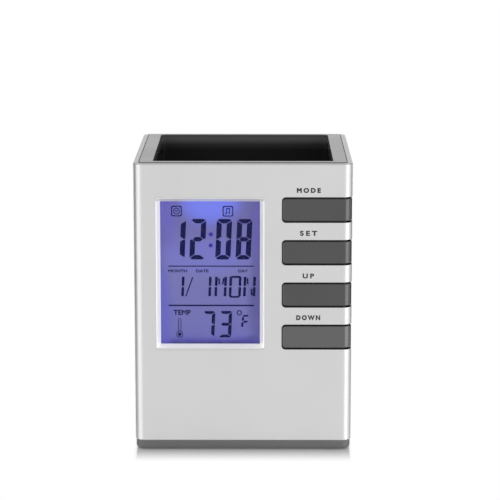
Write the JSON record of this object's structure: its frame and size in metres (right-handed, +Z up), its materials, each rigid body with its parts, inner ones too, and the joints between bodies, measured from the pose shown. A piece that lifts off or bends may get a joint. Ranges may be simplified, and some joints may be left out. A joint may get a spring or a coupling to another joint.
{
  "type": "pen holder clock",
  "caption": "Square silver pen holder over a dark base, with a black cup inside, a backlit clock display and corner-wrapping keys in its front wall, and a battery door beneath.",
  "frame": {"origin": "middle of the footprint at the height of the surface that the feet stand on", "axes": "+X to the right seen from the front, -Y out of the front face with the display and keys, +Z up"},
  "size_m": [0.078, 0.0782, 0.105],
  "materials": {
    "silver_shell": "satin silver-sprayed plastic",
    "black_cup": "black, smooth rim, satin inside",
    "base_grey": "satin dark grey",
    "door_grey": "satin dark grey",
    "foot_rubber": "matte black foam rubber",
    "bezel_silver": "bright silver-painted plastic",
    "clear_lens": "clear acrylic",
    "polariser_front": "polarising film",
    "lcd_glass_front": "clear glass",
    "lcd_glass_rear": "clear glass",
    "polariser_rear": "polarising film",
    "light_diffuser": "milky acrylic",
    "lamp_body": "clear resin lamps",
    "holder_white": "white plastic",
    "elastomer": "striped elastomer",
    "board_green": "green solder mask",
    "board_screw_steel": "zinc-plated steel",
    "resin_black": "black resin blob",
    "crystal_can": "tin-plated can",
    "capacitor_tan": "ceramic",
    "transistor_black": "moulded black",
    "guide_plastic": "plain dark plastic",
    "switch_body": "black plastic",
    "cell_jacket_front": "plain printed sleeve",
    "cell_jacket_back": "plain printed sleeve",
    "contact_minus": "nickel-plated steel",
    "contact_plus": "nickel-plated steel",
    "contact_bridge": "nickel-plated steel",
    "spring_front": "nickel-plated wire",
    "spring_back": "nickel-plated wire",
    "wire_black": "black insulation",
    "wire_red": "red insulation",
    "buzzer_brass": "plain brass",
    "buzzer_white": "ceramic with silvered face",
    "wire_buzzer": "black insulation",
    "sensor_resin": "black resin bead",
    "wire_sensor": "tinned wire",
    "case_screw_steel": "zinc-plated steel",
    "down_key_grey": "satin dark grey",
    "down_stem_plastic": "moulded yellow plastic",
    "up_key_grey": "satin dark grey",
    "up_stem_plastic": "moulded yellow plastic",
    "set_key_grey": "satin dark grey",
    "set_stem_plastic": "moulded yellow plastic",
    "mode_key_grey": "satin dark grey",
    "mode_stem_plastic": "moulded yellow plastic"
  },
  "bodies": {
    "case": {"outer_sleeve": "silver_shell", "inner_cup": "black_cup", "base_tray": "base_grey", "foot_pads": "foot_rubber", "display_bezel": "bezel_silver", "display_lens": "clear_lens", "lcd_front_film": "polariser_front", "lcd_front_glass": "lcd_glass_front", "lcd_rear_glass": "lcd_glass_rear", "lcd_rear_film": "polariser_rear", "light_guide": "light_diffuser", "backlight_lamps": "lamp_body", "lcd_holder": "holder_white", "contact_strip": "elastomer", "main_board": "board_green", "board_screws": "board_screw_steel", "chip_resin": "resin_black", "clock_crystal": "crystal_can", "capacitors": "capacitor_tan", "lamp_transistors": "transistor_black", "key_guide": "guide_plastic", "switch_housings": "switch_body", "front_cell": "cell_jacket_front", "back_cell": "cell_jacket_back", "negative_contact": "contact_minus", "positive_contact": "contact_plus", "bridge_contact": "contact_bridge", "front_contact_spring": "spring_front", "back_contact_spring": "spring_back", "negative_wire": "wire_black", "positive_wire": "wire_red", "buzzer_disc": "buzzer_brass", "buzzer_ceramic": "buzzer_white", "buzzer_wires": "wire_buzzer", "sensor_bead": "sensor_resin", "sensor_wires": "wire_sensor", "case_screws": "case_screw_steel"},
    "down_button": {"down_key": "down_key_grey", "down_switch_stem": "down_stem_plastic"},
    "up_button": {"up_key": "up_key_grey", "up_switch_stem": "up_stem_plastic"},
    "set_button": {"set_key": "set_key_grey", "set_switch_stem": "set_stem_plastic"},
    "mode_button": {"mode_key": "mode_key_grey", "mode_switch_stem": "mode_stem_plastic"},
    "door": {"battery_door": "door_grey"}
  },
  "joints": [
    {"name": "down_press", "type": "slide", "parent": "case", "child": "down_button", "axis": [0, 1, 0], "range_m": [0, 0.0005], "stiffness_N_per_m": 1500},
    {"name": "up_press", "type": "slide", "parent": "case", "child": "up_button", "axis": [0, 1, 0], "range_m": [0, 0.0005], "stiffness_N_per_m": 1500},
    {"name": "set_press", "type": "slide", "parent": "case", "child": "set_button", "axis": [0, 1, 0], "range_m": [0, 0.0005], "stiffness_N_per_m": 1500},
    {"name": "mode_press", "type": "slide", "parent": "case", "child": "mode_button", "axis": [0, 1, 0], "range_m": [0, 0.0005], "stiffness_N_per_m": 1500},
    {"name": "battery_door_hinge", "type": "hinge", "parent": "case", "child": "door", "pos_m": [0, 0.0154, 0.00105], "axis": [1, 0, 0], "range_deg": [0, 45]}
  ]
}
